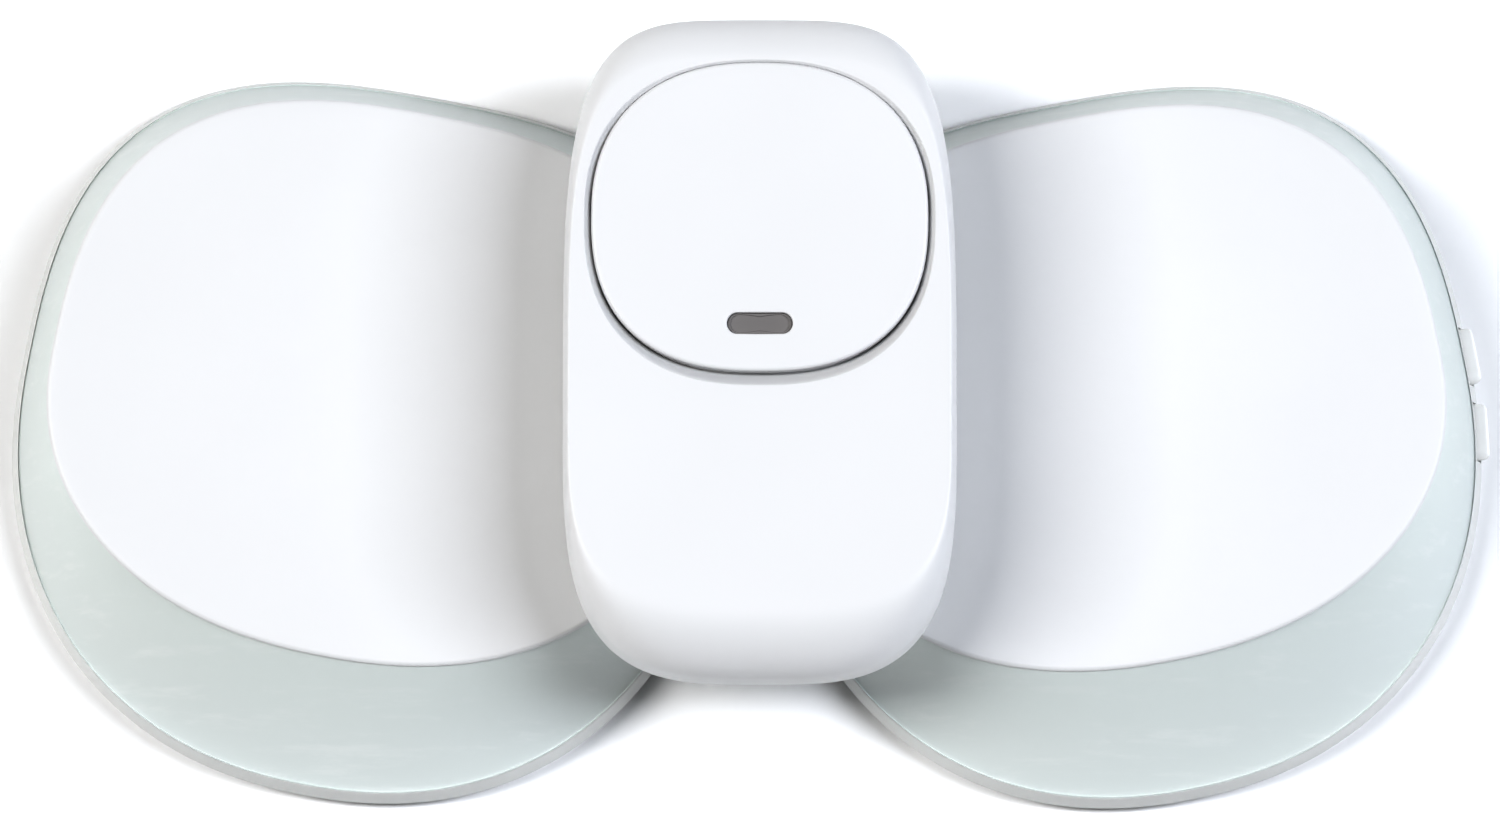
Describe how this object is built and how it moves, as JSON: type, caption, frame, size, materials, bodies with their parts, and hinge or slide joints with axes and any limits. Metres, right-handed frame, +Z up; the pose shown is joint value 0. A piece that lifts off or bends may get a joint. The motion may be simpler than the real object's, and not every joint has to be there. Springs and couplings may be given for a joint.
{
  "type": "wireless doorbell set",
  "caption": "Wireless doorbell set lying flat: battery chimes with a translucent halo flare round a white face, and a rounded bell push with a large press cap resting across them.",
  "frame": {"origin": "centre of the set's footprint, on the surface that the feet rest on", "axes": "+X from the left chime to the right chime, +Y towards the tops of the units, +Z up, out of the faces"},
  "size_m": [0.1834, 0.0936, 0.0413],
  "materials": {
    "white_shell": "satin moulded plastic with a very fine texture",
    "baffle_white": "matt moulded plastic",
    "rear_shell": "satin moulded plastic",
    "halo_frost": "frosted translucent moulded plastic",
    "key_white": "satin warm white plastic",
    "circuit_board": "solder mask",
    "lamp": "clear over phosphor",
    "cell_wrap": "printed film wrap without text",
    "steel": "plated steel",
    "brass_wire": "drawn wire",
    "black_part": "moulded",
    "speaker_frame": "pressed steel, painted",
    "rubber": "matt",
    "window_grey": "smoked translucent window",
    "foam_pad": "foam mounting pad with liner"
  },
  "bodies": {
    "left_chime": {"left_front_cover": "white_shell", "left_light_baffle": "baffle_white", "left_halo_diffuser": "halo_frost", "left_led_board": "circuit_board", "left_leds": "lamp", "left_rear_housing": "rear_shell", "left_cells": "cell_wrap", "left_cell_contacts": "steel", "left_main_board": "circuit_board", "left_board_parts": "black_part", "left_antenna": "brass_wire", "left_speaker_basket": "speaker_frame", "left_speaker_cone": "black_part", "left_speaker_magnet": "steel", "left_key_switches": "black_part", "left_screws": "steel", "left_feet": "rubber"},
    "left_volume": {"left_volume_key": "key_white"},
    "left_tune": {"left_tune_key": "key_white"},
    "left_door": {"left_battery_door": "rear_shell"},
    "right_chime": {"right_front_cover": "white_shell", "right_light_baffle": "baffle_white", "right_halo_diffuser": "halo_frost", "right_led_board": "circuit_board", "right_leds": "lamp", "right_rear_housing": "rear_shell", "right_cells": "cell_wrap", "right_cell_contacts": "steel", "right_main_board": "circuit_board", "right_board_parts": "black_part", "right_antenna": "brass_wire", "right_speaker_basket": "speaker_frame", "right_speaker_cone": "black_part", "right_speaker_magnet": "steel", "right_key_switches": "black_part", "right_screws": "steel", "right_feet": "rubber"},
    "right_volume": {"right_volume_key": "key_white"},
    "right_tune": {"right_tune_key": "key_white"},
    "right_door": {"right_battery_door": "rear_shell"},
    "bracket": {"push_bracket": "white_shell", "bracket_pads": "foam_pad"},
    "push_button": {"push_cap": "white_shell", "cap_lens": "window_grey"},
    "coin_hatch": {"coin_cover": "rear_shell"},
    "push_body": {"push_back": "rear_shell", "push_front": "white_shell", "push_board": "circuit_board", "push_switch": "black_part", "push_led": "lamp", "coin_cell": "steel", "cell_holder": "black_part", "push_seal": "rubber", "push_screws": "steel", "push_parts": "black_part", "push_antenna": "brass_wire"}
  },
  "joints": [
    {"name": "left_volume_press", "type": "slide", "parent": "left_chime", "child": "left_volume", "axis": [-0.9825, 0.1861, 0], "range_m": [0, 0.0006], "stiffness_N_per_m": 3000},
    {"name": "left_tune_press", "type": "slide", "parent": "left_chime", "child": "left_tune", "axis": [-0.9505, 0.3106, 0], "range_m": [0, 0.0006], "stiffness_N_per_m": 3000},
    {"name": "left_door_slide", "type": "slide", "parent": "left_chime", "child": "left_door", "axis": [-0.1874, -0.9823, 0], "range_m": [0, 0.014]},
    {"name": "right_chime_away", "type": "slide", "parent": "left_chime", "child": "right_chime", "axis": [1, 0, 0], "range_m": [0, 0.06]},
    {"name": "right_volume_press", "type": "slide", "parent": "right_chime", "child": "right_volume", "axis": [-0.981, -0.1938, 0], "range_m": [0, 0.0006], "stiffness_N_per_m": 3000},
    {"name": "right_tune_press", "type": "slide", "parent": "right_chime", "child": "right_tune", "axis": [-0.9978, -0.0663, 0], "range_m": [0, 0.0006], "stiffness_N_per_m": 3000},
    {"name": "right_door_slide", "type": "slide", "parent": "right_chime", "child": "right_door", "axis": [0.1925, -0.9813, 0], "range_m": [0, 0.014]},
    {"name": "push_lift", "type": "slide", "parent": "left_chime", "child": "bracket", "axis": [0, 0, 1], "range_m": [0, 0.05]},
    {"name": "push_unclip", "type": "slide", "parent": "bracket", "child": "push_body", "axis": [0, 0, 1], "range_m": [0, 0.015]},
    {"name": "button_press", "type": "slide", "parent": "push_body", "child": "push_button", "axis": [0, 0, -1], "range_m": [0, 0.0008], "stiffness_N_per_m": 2500},
    {"name": "coin_hatch_turn", "type": "hinge", "parent": "push_body", "child": "coin_hatch", "pos_m": [0.00107, -0.01018, 0.0247], "axis": [0, 0, 1], "range_deg": [0, 45]}
  ]
}
